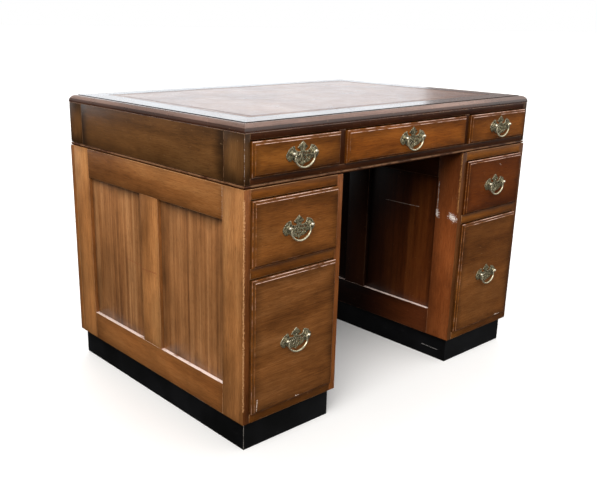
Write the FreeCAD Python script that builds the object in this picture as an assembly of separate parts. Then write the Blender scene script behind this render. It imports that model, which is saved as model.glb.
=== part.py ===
import FreeCAD, Part
import math
import os

# Pedestal writing desk with seven drawers, in millimetres.
# +X is the desk's right as its user faces it, -Y is its front, +Z is up.
# The origin is on the floor, under the middle of the whole object.

vector = FreeCAD.Vector

# Heights above the floor
desk_height = 762.0
plinth_height = 73.5
pedestal_top = 624.0
frieze_bottom = 632.7
frieze_top = 741.3

# Plan sizes, all centred on the carcass; the pedestals stand a little proud of the frieze and top
top_width = 1067.0
top_depth = 755.0
frieze_width = 1066.0
frieze_depth = 754.0
pedestals_width = 1070.0
pedestals_depth = 758.0
kneehole_width = 471.0
pedestal_outer_x = pedestals_width / 2
pedestal_inner_x = kneehole_width / 2

# Drop handles: how far the pivot line stands off the drawer face, and the post's ball
pivot_standoff = 10.0
post_ball_radius = 3.8
front_proud = 10.0
handle_projection = front_proud + pivot_standoff + post_ball_radius

# The carcass stands back from the origin so that the handles are inside a centred box
carcass_y = handle_projection / 2
front_y = carcass_y - pedestals_depth / 2
back_y = carcass_y + pedestals_depth / 2
frieze_front_y = carcass_y - frieze_depth / 2
frieze_back_y = carcass_y + frieze_depth / 2

# Frame-and-panel sides and backs of the pedestals
frame_thickness = 18.5
front_stile = 75.0
back_stile = 75.0
muntin = 80.0
rail_height = 78.0
back_frame_stile = 62.0
panel_thickness = 6.0
panel_recess = 10.0
tongue = 6.0
groove_play = 0.5

# Boards
face_rail_depth = 22.0
frieze_side_thickness = 15.0
frieze_block_width = 70.0
frieze_back_block_width = 65.0
divider_width = 19.5
partition_thickness = 18.0
end_board_thickness = 12.0
plinth_inset = 12.0
plinth_board = 18.0
base_board_inset = 4.0
base_bead_overhang = 0.4
base_bead_low = 1.2
base_bead_radius = 2.5

# Desk top
moulding_width = 18.8
moulding_nose = 3.0
moulding_crest = 1.0
quirk_width = 2.0
quirk_depth = 2.2
leather_inset = 78.6
leather_thickness = 1.3

# Drawer fronts: distance of each edge from the desk's middle
frieze_front_near = 252.5
frieze_front_far = 516.5
centre_front_half = 230.0
pedestal_front_near = 255.0
pedestal_front_far = 515.0

# Drawer fronts: bottom and top edges, and the height of the handle's pivots
frieze_levels = (648.0, 724.0, 690.2)
upper_levels = (449.0, 598.0, 526.2)
lower_levels = (96.5, 420.5, 257.7)

# The frieze drawers' handles sit a little to the right of their drawers' middles
frieze_left_handle_shift = 7.0
frieze_centre_handle_shift = 2.0
frieze_right_handle_shift = 2.5

# Gaps round the fronts and the shape of their moulded edges
side_gap = 1.5
bottom_gap = 1.5
top_gap = 3.0
front_behind_face = 12.0
front_edge_proud = 6.0
front_moulding_width = 5.5
front_moulding_step = 0.8

# Drawer boxes
drawer_side = 11.0
drawer_back = 11.0
drawer_bottom = 5.0
drawer_bottom_raise = 6.0
box_side_play = 1.2
box_top_play = 7.0
frieze_drawer_length = 600.0
pedestal_drawer_length = 640.0
runner_width = 24.0
runner_play = 0.5
stop_length = 18.0
stop_gap = 1.0

# Handles
post_spacing = 67.0
plate_thickness = 2.2
pin_radius = 1.7
pin_play = 0.06
pin_end_x = 38.5
bail_bend = 2.6
bail_neck_x = 27.0
bail_neck = 5.0
bail_flare = 28.0
bail_side = 13.0
bail_drop = 32.0
shank_radius = 2.4
nut_radius = 5.5
nut_thickness = 4.0
plate_apex = 29.0
plate_drop = 4.2
rosette_radius = 5.6
rosette_thickness = 0.8
post_neck_radius = 2.3
post_foot = 3.2
slot_half_width = 1.4


class Drawer:
    """The limits of one drawer's front, the frame it closes against, and the place of its handle."""

    def __init__(self, low_x, high_x, levels, frame_y, length, handle_shift=0.0):
        self.low_x = low_x
        self.high_x = high_x
        self.low_z, self.high_z, self.pivot_z = levels
        self.frame_y = frame_y
        self.face_y = frame_y - front_proud
        self.length = length
        self.handle_x = (low_x + high_x) / 2 + handle_shift


def frieze_drawer(low_x, high_x, handle_shift):
    return Drawer(low_x, high_x, frieze_levels, frieze_front_y, frieze_drawer_length, handle_shift)


def pedestal_drawer(side, levels):
    """One pedestal drawer; side is -1 for the left pedestal and 1 for the right."""
    limits = sorted((side * pedestal_front_near, side * pedestal_front_far))
    return Drawer(limits[0], limits[1], levels, front_y, pedestal_drawer_length)


drawers = {
    "frieze_left": frieze_drawer(-frieze_front_far, -frieze_front_near, frieze_left_handle_shift),
    "frieze_centre": frieze_drawer(-centre_front_half, centre_front_half, frieze_centre_handle_shift),
    "frieze_right": frieze_drawer(frieze_front_near, frieze_front_far, frieze_right_handle_shift),
    "left_upper": pedestal_drawer(-1, upper_levels),
    "left_lower": pedestal_drawer(-1, lower_levels),
    "right_upper": pedestal_drawer(1, upper_levels),
    "right_lower": pedestal_drawer(1, lower_levels),
}


def block(x_low, x_high, y_low, y_high, z_low, z_high):
    """A straight-edged board between two corners."""
    corner = vector(x_low, y_low, z_low)
    return Part.makeBox(x_high - x_low, y_high - y_low, z_high - z_low, corner)


def polygon_face(points):
    return Part.Face(Part.makePolygon(points + [points[0]]))


def save(node, solids):
    shape = solids[0] if len(solids) == 1 else Part.makeCompound(solids)
    if not shape.isValid():
        raise ValueError(node + " is not a valid shape")
    shape.exportStep("parts/" + node + ".step")


def mirrored(solids):
    """The same solids on the other side of the desk's middle plane."""
    return [solid.mirror(vector(0, 0, 0), vector(1, 0, 0)) for solid in solids]


# ---------------------------------------------------------------- desk top

def top_board():
    """The slab inside the edge moulding, with a shallow well for the leather."""
    half_x = top_width / 2 - moulding_width
    half_y = top_depth / 2 - moulding_width
    board = block(-half_x, half_x, carcass_y - half_y, carcass_y + half_y, frieze_top, desk_height)
    well_x = top_width / 2 - leather_inset
    well_y = top_depth / 2 - leather_inset
    well = block(-well_x, well_x, carcass_y - well_y, carcass_y + well_y,
                 desk_height - leather_thickness, desk_height + 1)
    return [board.cut(well)]


def leather_lining():
    half_x = top_width / 2 - leather_inset
    half_y = top_depth / 2 - leather_inset
    return [block(-half_x, half_x, carcass_y - half_y, carcass_y + half_y,
                  desk_height - leather_thickness, desk_height)]


def moulding_section(outward, height):
    """Edge moulding's section as (outward, height) pairs mapped by a caller's function."""
    outer = outward(moulding_width)
    inner = outward(0)
    quirk = outward(quirk_width)
    low = height(frieze_top)
    top = height(desk_height)
    nose = height(frieze_top + moulding_nose)
    shoulder = outward(quirk_width + moulding_crest)
    across = moulding_width - quirk_width - moulding_crest
    rise = desk_height - frieze_top - moulding_nose
    middle = outward(quirk_width + moulding_crest + across * math.cos(math.radians(45))) \
        + height(frieze_top + moulding_nose + rise * math.sin(math.radians(45)))
    floor = height(desk_height - quirk_depth)
    edges = [
        Part.LineSegment(inner + low, outer + low).toShape(),
        Part.LineSegment(outer + low, outer + nose).toShape(),
        Part.Arc(outer + nose, middle, shoulder + top).toShape(),
        Part.LineSegment(shoulder + top, quirk + top).toShape(),
        Part.LineSegment(quirk + top, quirk + floor).toShape(),
        Part.LineSegment(quirk + floor, inner + floor).toShape(),
        Part.LineSegment(inner + floor, inner + low).toShape(),
    ]
    return Part.Face(Part.Wire(edges))


def top_edge_moulding():
    """Four mitred lengths of ovolo moulding round the slab."""
    half_x = top_width / 2
    half_y = top_depth / 2
    height = lambda z: vector(0, 0, z)
    strips = []
    for sign in (-1, 1):
        start = vector(-half_x, carcass_y + sign * (half_y - moulding_width), 0)
        outward = lambda out, s=sign, p=start: p + vector(0, s * out, 0)
        length = moulding_section(outward, height).extrude(vector(2 * half_x, 0, 0))
        inside = half_x - moulding_width
        edge_y = carcass_y + sign * half_y
        slab_y = carcass_y + sign * (half_y - moulding_width)
        outline = [vector(-half_x, edge_y, 0), vector(half_x, edge_y, 0),
                   vector(inside, slab_y, 0), vector(-inside, slab_y, 0)]
        mitre = polygon_face(outline).extrude(vector(0, 0, desk_height + 1))
        strips.append(length.common(mitre))
    for sign in (-1, 1):
        start = vector(sign * (half_x - moulding_width), carcass_y - half_y, 0)
        outward = lambda out, s=sign, p=start: p + vector(s * out, 0, 0)
        length = moulding_section(outward, height).extrude(vector(0, 2 * half_y, 0))
        inside = half_y - moulding_width
        edge_x = sign * half_x
        slab_x = sign * (half_x - moulding_width)
        outline = [vector(edge_x, carcass_y - half_y, 0), vector(edge_x, carcass_y + half_y, 0),
                   vector(slab_x, carcass_y + inside, 0), vector(slab_x, carcass_y - inside, 0)]
        mitre = polygon_face(outline).extrude(vector(0, 0, desk_height + 1))
        strips.append(length.common(mitre))
    return [strip.Solids[0] for strip in strips]


# ---------------------------------------------------------------- frieze

def frieze_side():
    """Left end of the frieze: a long board between two corner blocks, all flush."""
    outer = -frieze_width / 2
    inner = outer + frieze_side_thickness
    joint_front = frieze_front_y + frieze_block_width
    joint_back = frieze_back_y - frieze_back_block_width
    joints = [frieze_front_y, joint_front, joint_back, frieze_back_y]
    return [block(outer, inner, low, high, frieze_bottom, frieze_top)
            for low, high in zip(joints[:-1], joints[1:])]


def frieze_back():
    inner = frieze_width / 2 - frieze_side_thickness
    return [block(-inner, inner, frieze_back_y - frame_thickness, frieze_back_y, frieze_bottom, frieze_top)]


def frieze_front_frame():
    """Rails above and below the three drawers, with the two dividers between them."""
    inner = frieze_width / 2 - frieze_side_thickness
    rear = frieze_front_y + face_rail_depth
    opening_low = drawers["frieze_centre"].low_z - bottom_gap
    opening_high = drawers["frieze_centre"].high_z + top_gap
    divider_inner = centre_front_half + side_gap
    pieces = [
        block(-inner, inner, frieze_front_y, rear, frieze_bottom, opening_low),
        block(-inner, inner, frieze_front_y, rear, opening_high, frieze_top),
    ]
    for low in (-divider_inner - divider_width, divider_inner):
        pieces.append(block(low, low + divider_width, frieze_front_y, rear, opening_low, opening_high))
    return pieces


def frieze_base_board():
    """Bottom of the frieze: a board set back from the faces, with a rounded bead along its edge."""
    def plan(inset, low, high):
        half_x = frieze_width / 2 - inset
        return block(-half_x, half_x, frieze_front_y + inset, frieze_back_y - inset, low, high)

    bead = plan(-base_bead_overhang, pedestal_top + base_bead_low, frieze_bottom - base_bead_low)
    rim = [edge for edge in bead.Edges if abs(edge.Vertexes[0].Z - edge.Vertexes[-1].Z) < 0.01]
    bead = bead.makeFillet(base_bead_radius, rim)
    core = plan(base_board_inset, pedestal_top, frieze_bottom)
    return [bead.fuse(core).removeSplitter().Solids[0]]


def drawer_floor(name):
    """Height of the surface that a drawer's sides slide on."""
    return drawers[name].low_z - bottom_gap


def frieze_drawer_supports():
    """Partitions behind the dividers, runner strips under the drawer sides, and stops behind them."""
    rear = frieze_front_y + face_rail_depth
    back = frieze_back_y - frame_thickness
    inner = frieze_width / 2 - frieze_side_thickness
    middle = centre_front_half + side_gap + divider_width / 2
    pieces = []
    for x in (-middle, middle):
        pieces.append(block(x - partition_thickness / 2, x + partition_thickness / 2, rear, back,
                            frieze_bottom, frieze_top))
    half = partition_thickness / 2
    bays = {"frieze_left": (-inner, -middle - half), "frieze_centre": (-middle + half, middle - half),
            "frieze_right": (middle + half, inner)}
    for name, (low, high) in bays.items():
        surface = drawer_floor(name)
        stop_y = frieze_front_y + frieze_drawer_length + stop_gap
        for x in (low, high - runner_width):
            pieces.append(block(x, x + runner_width, rear, back, frieze_bottom, surface))
            pieces.append(block(x, x + runner_width, stop_y, stop_y + stop_length,
                                surface, surface + 2 * stop_length))
    return pieces


# ---------------------------------------------------------------- pedestals

def grooved(piece, x_middle, y_low, y_high, z_low, z_high):
    """A frame member with the groove that holds a panel's edge."""
    groove = block(x_middle - panel_thickness / 2, x_middle + panel_thickness / 2,
                   y_low, y_high, z_low, z_high)
    return piece.cut(groove)


def side_frame(outer_face_x, outward):
    """Two stiles, a muntin and two rails; outward is -1 where the show face looks to -X."""
    inner_face_x = outer_face_x - outward * frame_thickness
    low_x = min(outer_face_x, inner_face_x)
    high_x = max(outer_face_x, inner_face_x)
    frame_back = back_y - frame_thickness
    field_low = plinth_height + rail_height
    field_high = pedestal_top - rail_height
    field = (frame_back - front_y - front_stile - back_stile - muntin) / 2
    front_field = (front_y + front_stile, front_y + front_stile + field)
    back_field = (frame_back - back_stile - field, frame_back - back_stile)
    panel_x = outer_face_x - outward * (panel_recess + panel_thickness / 2)
    members = [
        block(low_x, high_x, front_y, front_field[0], plinth_height, pedestal_top),
        block(low_x, high_x, back_field[1], frame_back, plinth_height, pedestal_top),
        block(low_x, high_x, front_field[0], back_field[1], plinth_height, field_low),
        block(low_x, high_x, front_field[0], back_field[1], field_high, pedestal_top),
        block(low_x, high_x, front_field[1], back_field[0], field_low, field_high),
    ]
    panels = []
    for low, high in (front_field, back_field):
        members = [grooved(member, panel_x, low - tongue, high + tongue,
                           field_low - tongue, field_high + tongue) for member in members]
        panels.append(block(panel_x - panel_thickness / 2, panel_x + panel_thickness / 2,
                            low - tongue + groove_play, high + tongue - groove_play,
                            field_low - tongue + groove_play, field_high + tongue - groove_play))
    return members, panels


def back_frame():
    """Left pedestal's framed back: two stiles, two rails and one panel."""
    low_x = -pedestal_outer_x
    high_x = -pedestal_inner_x
    front = back_y - frame_thickness
    field_x = (low_x + back_frame_stile, high_x - back_frame_stile)
    field_z = (plinth_height + rail_height, pedestal_top - rail_height)
    panel_y = (back_y - panel_recess - panel_thickness, back_y - panel_recess)
    groove = block(field_x[0] - tongue, field_x[1] + tongue, panel_y[0], panel_y[1],
                   field_z[0] - tongue, field_z[1] + tongue)
    members = [
        block(low_x, field_x[0], front, back_y, plinth_height, pedestal_top),
        block(field_x[1], high_x, front, back_y, plinth_height, pedestal_top),
        block(field_x[0], field_x[1], front, back_y, plinth_height, field_z[0]),
        block(field_x[0], field_x[1], front, back_y, field_z[1], pedestal_top),
    ]
    reach = tongue - groove_play
    panel = block(field_x[0] - reach, field_x[1] + reach, panel_y[0], panel_y[1],
                  field_z[0] - reach, field_z[1] + reach)
    return [member.cut(groove) for member in members] + [panel]


def pedestal_inside():
    """X limits between the two side frames of the left pedestal."""
    return -pedestal_outer_x + frame_thickness, -pedestal_inner_x - frame_thickness


def front_rails():
    low_x, high_x = pedestal_inside()
    rear = front_y + face_rail_depth
    levels = [
        (plinth_height, drawers["left_lower"].low_z - bottom_gap),
        (drawers["left_lower"].high_z + top_gap, drawers["left_upper"].low_z - bottom_gap),
        (drawers["left_upper"].high_z + top_gap, pedestal_top),
    ]
    return [block(low_x, high_x, front_y, rear, low, high) for low, high in levels]


def end_boards():
    """Top and bottom boards that close the pedestal between its frames."""
    low_x, high_x = pedestal_inside()
    front = front_y + face_rail_depth
    rear = back_y - frame_thickness
    return [
        block(low_x, high_x, front, rear, plinth_height, plinth_height + end_board_thickness),
        block(low_x, high_x, front, rear, pedestal_top - end_board_thickness, pedestal_top),
    ]


def drawer_runners():
    """Runner strips under both drawers' sides, with a stop block behind each side."""
    low_x, high_x = pedestal_inside()
    front = front_y + face_rail_depth
    rear = back_y - frame_thickness
    lower_surface = drawer_floor("left_lower")
    upper_surface = drawer_floor("left_upper")
    stop_y = front_y + pedestal_drawer_length + stop_gap
    pieces = []
    for x in (low_x, high_x - runner_width):
        pieces.append(block(x, x + runner_width, front, rear,
                            plinth_height + end_board_thickness, lower_surface))
        pieces.append(block(x, x + runner_width, front, rear,
                            drawers["left_lower"].high_z + top_gap, upper_surface))
        for surface in (lower_surface, upper_surface):
            pieces.append(block(x, x + runner_width, stop_y, stop_y + stop_length,
                                surface, surface + 2 * stop_length))
    return pieces


def plinth():
    """Four boards round an open bottom, set back under the pedestal."""
    low_x = -pedestal_outer_x + plinth_inset
    high_x = -pedestal_inner_x - plinth_inset
    low_y = front_y + plinth_inset
    high_y = back_y - plinth_inset
    return [
        block(low_x, high_x, low_y, low_y + plinth_board, 0, plinth_height),
        block(low_x, high_x, high_y - plinth_board, high_y, 0, plinth_height),
        block(low_x, low_x + plinth_board, low_y + plinth_board, high_y - plinth_board, 0, plinth_height),
        block(high_x - plinth_board, high_x, low_y + plinth_board, high_y - plinth_board, 0, plinth_height),
    ]


# ---------------------------------------------------------------- drawers

def edge_cutter(start, along, inward, length):
    """Waste taken off one edge of a drawer front to leave its ovolo moulding."""
    rise = front_proud - front_edge_proud
    out = vector(0, -1, 0)
    edge = start + out * front_edge_proud
    foot = edge + inward * front_moulding_step
    crest = edge + inward * front_moulding_width + out * (rise - front_moulding_step)
    across = front_moulding_width - front_moulding_step
    bulge = foot + inward * (across * (1 - math.cos(math.radians(45)))) \
        + out * ((rise - front_moulding_step) * math.sin(math.radians(45)))
    face = edge + inward * front_moulding_width + out * (rise + 1)
    clear = edge - inward + out * (rise + 1)
    edges = [
        Part.LineSegment(edge - inward, foot).toShape(),
        Part.Arc(foot, bulge, crest).toShape(),
        Part.LineSegment(crest, face).toShape(),
        Part.LineSegment(face, clear).toShape(),
        Part.LineSegment(clear, edge - inward).toShape(),
    ]
    return Part.Face(Part.Wire(edges)).extrude(along * length)


def drawer_front(drawer):
    board = block(drawer.low_x, drawer.high_x, drawer.face_y, drawer.frame_y + front_behind_face,
                  drawer.low_z, drawer.high_z)
    width = drawer.high_x - drawer.low_x
    height = drawer.high_z - drawer.low_z
    right = vector(1, 0, 0)
    up = vector(0, 0, 1)
    corner = vector(drawer.low_x, drawer.frame_y, drawer.low_z)
    far_corner = vector(drawer.high_x, drawer.frame_y, drawer.high_z)
    board = board.cut(edge_cutter(corner, right, up, width))
    board = board.cut(edge_cutter(corner, up, right, height))
    board = board.cut(edge_cutter(far_corner, right * -1, up * -1, width))
    board = board.cut(edge_cutter(far_corner, up * -1, right * -1, height))
    for side in (-1, 1):
        start = vector(drawer.handle_x + side * post_spacing / 2, drawer.face_y - 1, drawer.pivot_z)
        board = board.cut(Part.makeCylinder(shank_radius, front_proud + front_behind_face + 2, start,
                                            vector(0, 1, 0)))
    return [board.Solids[0]]


def drawer_box(name):
    """Two sides, a back and a bottom behind the front."""
    drawer = drawers[name]
    front = drawer.frame_y + front_behind_face
    rear = drawer.frame_y + drawer.length
    left = drawer.low_x - side_gap + box_side_play
    right = drawer.high_x + side_gap - box_side_play
    bottom = drawer_floor(name) + runner_play
    top = drawer.high_z - box_top_play
    floor = bottom + drawer_bottom_raise
    return [
        block(left, left + drawer_side, front, rear, bottom, top),
        block(right - drawer_side, right, front, rear, bottom, top),
        block(left + drawer_side, right - drawer_side, rear - drawer_back, rear, floor + drawer_bottom, top),
        block(left + drawer_side, right - drawer_side, front, rear, floor, floor + drawer_bottom),
    ]


def plate_outline():
    """Right half of the bat-wing plate from the point at the top to the point at the bottom.
    Each entry is (through x, through z, end x, end z); a straight edge has no through point."""
    return [
        (None, None, 16.0, 15.0),
        (10.0, 13.0, 6.0, 6.8),
        (15.0, 7.2, 22.5, 11.5),
        (None, None, 25.0, 19.5),
        (37.0, 15.6, 45.5, 6.5),
        (48.3, -1.0, 43.5, -8.5),
        (38.5, -12.6, 33.5, -11.5),
        (30.0, -9.8, 27.0, -12.0),
        (19.5, -17.2, 10.5, -19.0),
        (4.5, -21.2, 0.0, -26.0),
    ]


def plate_slots():
    """Pierced slots as (middle x, middle z, half length, lean from upright in degrees), right half only."""
    return [
        (4.8, 2.2, 3.4, -32),
        (11.5, 1.6, 3.4, -32),
        (8.6, -7.6, 4.0, -30),
        (3.9, -14.2, 3.2, 30),
        (19.5, 0.8, 4.4, -58),
        (18.0, -8.8, 3.8, -40),
        (25.4, 4.5, 3.2, -12),
        (31.5, 12.8, 2.6, 60),
        (41.5, 1.5, 3.2, -28),
    ]


def middle_slots():
    """Pierced slots on the plate's middle line, in the same form."""
    return [(0.0, -5.8, 3.4, 0), (0.0, 14.0, 3.4, 0)]


def slot(x, z, half_length, lean, front, thickness):
    direction = vector(math.sin(math.radians(lean)), 0, math.cos(math.radians(lean)))
    side = vector(direction.z, 0, -direction.x) * slot_half_width
    middle = vector(x, front, z)
    top = middle + direction * (half_length - slot_half_width)
    low = middle - direction * (half_length - slot_half_width)
    edges = [
        Part.LineSegment(low + side, top + side).toShape(),
        Part.Arc(top + side, top + direction * slot_half_width, top - side).toShape(),
        Part.LineSegment(top - side, low - side).toShape(),
        Part.Arc(low - side, low - direction * slot_half_width, low + side).toShape(),
    ]
    return Part.Face(Part.Wire(edges)).extrude(vector(0, thickness, 0))


def plate_at_origin():
    """A pierced plate that stands on the XZ plane, its posts' holes at height 0."""
    apex = vector(0, 0, plate_apex)
    right_edges = []
    left_edges = []
    last = apex
    for through_x, through_z, x, z in plate_outline():
        end = vector(x, 0, z)
        flip = lambda p: vector(-p.x, 0, p.z)
        if through_x is None:
            right_edges.append(Part.LineSegment(last, end).toShape())
            left_edges.append(Part.LineSegment(flip(last), flip(end)).toShape())
        else:
            through = vector(through_x, 0, through_z)
            right_edges.append(Part.Arc(last, through, end).toShape())
            left_edges.append(Part.Arc(flip(last), flip(through), flip(end)).toShape())
        last = end
    outline = Part.Wire(right_edges + left_edges[::-1])
    plate = Part.Face(outline).extrude(vector(0, -plate_thickness, 0))
    front = -plate_thickness - 1
    cuts = [slot(x, z, half, lean, front, plate_thickness + 2) for x, z, half, lean in middle_slots()]
    for x, z, half, lean in plate_slots():
        cuts.append(slot(x, z, half, lean, front, plate_thickness + 2))
        cuts.append(slot(-x, z, half, -lean, front, plate_thickness + 2))
    for x in (-post_spacing / 2, post_spacing / 2):
        cuts.append(Part.makeCylinder(shank_radius, plate_thickness + 2, vector(x, front, plate_drop),
                                      vector(0, 1, 0)))
    for cut in cuts:
        plate = plate.cut(cut)
    plate.translate(vector(0, 0, -plate_drop))
    return plate.Solids[0]


def post_at_origin():
    """A turned post: rosette on the plate, neck, ball with the pin's hole, and the shank behind."""
    inner_end = front_proud + front_behind_face + nut_thickness + 2
    base = -plate_thickness
    ball = -pivot_standoff
    neck_end = ball + math.sqrt(post_ball_radius ** 2 - post_neck_radius ** 2)
    line = [
        vector(0, inner_end, 0),
        vector(shank_radius, inner_end, 0),
        vector(shank_radius, base, 0),
        vector(rosette_radius, base, 0),
        vector(rosette_radius, base - rosette_thickness, 0),
        vector(post_neck_radius, base - post_foot, 0),
        vector(post_neck_radius, neck_end, 0),
    ]
    edges = [Part.LineSegment(a, b).toShape() for a, b in zip(line[:-1], line[1:])]
    ball_side = vector(post_ball_radius, ball, 0)
    ball_tip = vector(0, ball - post_ball_radius, 0)
    edges.append(Part.Arc(line[-1], ball_side, ball_tip).toShape())
    edges.append(Part.LineSegment(ball_tip, line[0]).toShape())
    solid = Part.Face(Part.Wire(edges)).revolve(vector(0, 0, 0), vector(0, 1, 0), 360)
    hole = Part.makeCylinder(pin_radius + pin_play, 4 * post_ball_radius,
                             vector(-2 * post_ball_radius, ball, 0), vector(1, 0, 0))
    return solid.cut(hole).Solids[0]


def nut_at_origin():
    """A square nut on the shank behind the drawer front."""
    start = front_proud + front_behind_face
    body = block(-nut_radius, nut_radius, start, start + nut_thickness, -nut_radius, nut_radius)
    return body.cut(Part.makeCylinder(shank_radius, nut_thickness + 2, vector(0, start - 1, 0), vector(0, 1, 0)))


def bail_centre_line():
    """Right half of the bail from its pin's end to the bottom: four arcs that join smoothly.
    The wire turns down beside the post, swells outward, and closes in one flatter sweep."""
    wide = math.radians(bail_flare)
    corner = vector(bail_neck_x, 0, -bail_bend)
    pin_start = corner + vector(bail_bend, 0, bail_bend)
    bend_centre = corner + vector(bail_bend, 0, 0)
    bend_middle = bend_centre + vector(-math.cos(math.pi / 4), 0, math.sin(math.pi / 4)) * bail_bend
    neck_centre = corner + vector(bail_neck, 0, 0)
    neck_at = lambda heading: neck_centre - vector(math.cos(heading), 0, math.sin(heading)) * bail_neck
    side_centre = neck_at(wide) - vector(math.cos(wide), 0, math.sin(wide)) * bail_side
    side_at = lambda heading: side_centre + vector(math.cos(heading), 0, math.sin(heading)) * bail_side
    # the bottom arc is centred on the middle plane and meets the side arc in line
    drop = side_centre.z - bail_side + bail_drop
    extra = (side_centre.x ** 2 + drop ** 2) / (2 * drop)
    bottom_radius = bail_side + extra
    closing = -math.asin((extra - drop) / extra)
    bottom_centre = vector(0, 0, bottom_radius - bail_drop)
    half_way = (closing - math.pi / 2) / 2
    bottom_middle = bottom_centre + vector(math.cos(half_way), 0, math.sin(half_way)) * bottom_radius
    return [
        Part.LineSegment(vector(pin_end_x, 0, 0), pin_start).toShape(),
        Part.Arc(pin_start, bend_middle, corner).toShape(),
        Part.Arc(corner, neck_at(wide / 2), neck_at(wide)).toShape(),
        Part.Arc(neck_at(wide), side_at((wide + closing) / 2), side_at(closing)).toShape(),
        Part.Arc(side_at(closing), bottom_middle, vector(0, 0, -bail_drop)).toShape(),
    ]


def round_wire(edge, radius):
    """A round rod along one straight or circular edge."""
    start = edge.valueAt(edge.FirstParameter)
    along = edge.tangentAt(edge.FirstParameter)
    disc = Part.Face(Part.Wire(Part.makeCircle(radius, start, along)))
    if isinstance(edge.Curve, Part.Line):
        return disc.extrude(edge.valueAt(edge.LastParameter) - start)
    angle = math.degrees(edge.LastParameter - edge.FirstParameter)
    return disc.revolve(edge.Curve.Center, edge.Curve.Axis, angle)


def bail_at_origin():
    """A drop handle of round wire whose turned-out ends pass through the posts."""
    rods = [round_wire(edge, pin_radius) for edge in bail_centre_line()]
    half = rods[0].fuse(rods[1:])
    whole = half.fuse(half.mirror(vector(0, 0, 0), vector(1, 0, 0)))
    return whole.removeSplitter().Solids[0]


def placed(solid, drawer, offset_x=0.0, offset_y=0.0):
    """Put a handle piece on a drawer's face, at its pivots' height."""
    copy = solid.copy()
    copy.translate(vector(drawer.handle_x + offset_x, drawer.face_y + offset_y, drawer.pivot_z))
    return copy


def save_drawers():
    plate = plate_at_origin()
    post = post_at_origin()
    nut = nut_at_origin()
    bail = bail_at_origin()
    half = post_spacing / 2
    for name, drawer in drawers.items():
        save(name + "_drawer_front", drawer_front(drawer))
        save(name + "_drawer_box", drawer_box(name))
        save(name + "_handle_plate", [placed(plate, drawer)])
        save(name + "_handle_posts", [placed(piece, drawer, offset_x=x)
                                      for x in (-half, half) for piece in (post, nut)])
        save(name + "_handle_bail", [placed(bail, drawer, offset_y=-pivot_standoff)])


def save_carcass():
    save("top_board", top_board())
    save("top_edge_moulding", top_edge_moulding())
    save("leather_lining", leather_lining())
    save("frieze_left_side", frieze_side())
    save("frieze_right_side", mirrored(frieze_side()))
    save("frieze_back", frieze_back())
    save("frieze_front_frame", frieze_front_frame())
    save("frieze_drawer_supports", frieze_drawer_supports())
    save("frieze_base_board", frieze_base_board())
    outer_frame, outer_panels = side_frame(-pedestal_outer_x, -1)
    inner_frame, inner_panels = side_frame(-pedestal_inner_x, 1)
    left_pedestal = {
        "outer_side_frame": outer_frame,
        "inner_side_frame": inner_frame,
        "side_panels": outer_panels + inner_panels,
        "back_frame": back_frame(),
        "front_rails": front_rails(),
        "end_boards": end_boards(),
        "drawer_runners": drawer_runners(),
        "plinth": plinth(),
    }
    for piece, solids in left_pedestal.items():
        save("left_" + piece, solids)
        save("right_" + piece, mirrored(solids))


os.makedirs("parts", exist_ok=True)
save_carcass()
save_drawers()
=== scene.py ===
import math
import random

import bmesh
import bpy
from mathutils import Matrix, Vector


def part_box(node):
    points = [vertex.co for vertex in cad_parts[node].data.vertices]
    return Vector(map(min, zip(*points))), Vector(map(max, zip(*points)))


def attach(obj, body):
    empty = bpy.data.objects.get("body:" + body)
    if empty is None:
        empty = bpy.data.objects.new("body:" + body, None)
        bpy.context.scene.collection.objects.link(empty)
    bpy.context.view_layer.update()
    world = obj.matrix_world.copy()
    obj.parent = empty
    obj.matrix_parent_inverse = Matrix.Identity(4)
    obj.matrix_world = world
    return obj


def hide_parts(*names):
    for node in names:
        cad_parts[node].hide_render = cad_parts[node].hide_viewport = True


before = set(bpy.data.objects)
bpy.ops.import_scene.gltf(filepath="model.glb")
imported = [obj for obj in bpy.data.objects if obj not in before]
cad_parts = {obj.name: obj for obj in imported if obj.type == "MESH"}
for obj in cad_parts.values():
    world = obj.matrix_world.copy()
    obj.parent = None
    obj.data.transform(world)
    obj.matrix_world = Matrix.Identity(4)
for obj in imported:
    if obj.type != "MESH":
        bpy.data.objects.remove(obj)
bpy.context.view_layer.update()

# Sizes in metres. Places come from the frame's boxes; these are the sizes of the boards inside a node.
STILE = 0.075
BACK_FRAME_STILE = 0.062
MUNTIN = 0.080
RAIL = 0.078
PANEL_RECESS = 0.010
PANEL_THICKNESS = 0.006
FRIEZE_BLOCK = 0.070
FRIEZE_BACK_BLOCK = 0.065
DIVIDER = 0.0195
PLINTH_BOARD = 0.018
PLINTH_ARRIS = 0.001
DRAWER_SIDE = 0.011
DRAWER_BOX_ARRIS = 0.001
DRAWER_BOTTOM = 0.005
DRAWER_BOTTOM_RAISE = 0.006
BASE_BOARD_LIP = 0.08
BEAD_DEPTH = 0.0044
BEAD_CLEAR = 0.0012
BEAD_RADIUS = 0.0025
MOULDING = 0.0188
QUIRK = 0.002
QUIRK_DEPTH = 0.0022
NOSE_WEAR = 0.0012
NOSE_HEIGHT = 0.003
CROWN_DROP = 0.0014
CREST_FLAT = 0.001
CREST_SHARE = 0.62
BORDER_ARRIS = 0.001
LEATHER_DROP = 0.0002
TOOLED_LINE_DEPTH = 0.0004
TOOLED_LINE_SLOPE = 0.0003
TOOLED_LINES = ((0.013, 0.0014), (0.018, 0.0030))
ARRIS = 0.0007
FRONT_ARRIS = 0.0014
FRONT_INNER = 0.0010
FRONT_EDGE_DROP = 0.004
FRONT_STEP = 0.0010
FRONT_MOULDING = 0.0055
PLATE_BEVEL = 0.0009
BALL_DEPTH = 0.0055
BAIL_SWELL = 0.0006
BAIL_SWELL_START = 0.25
BAIL_SWELL_SPAN = 0.6
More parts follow.
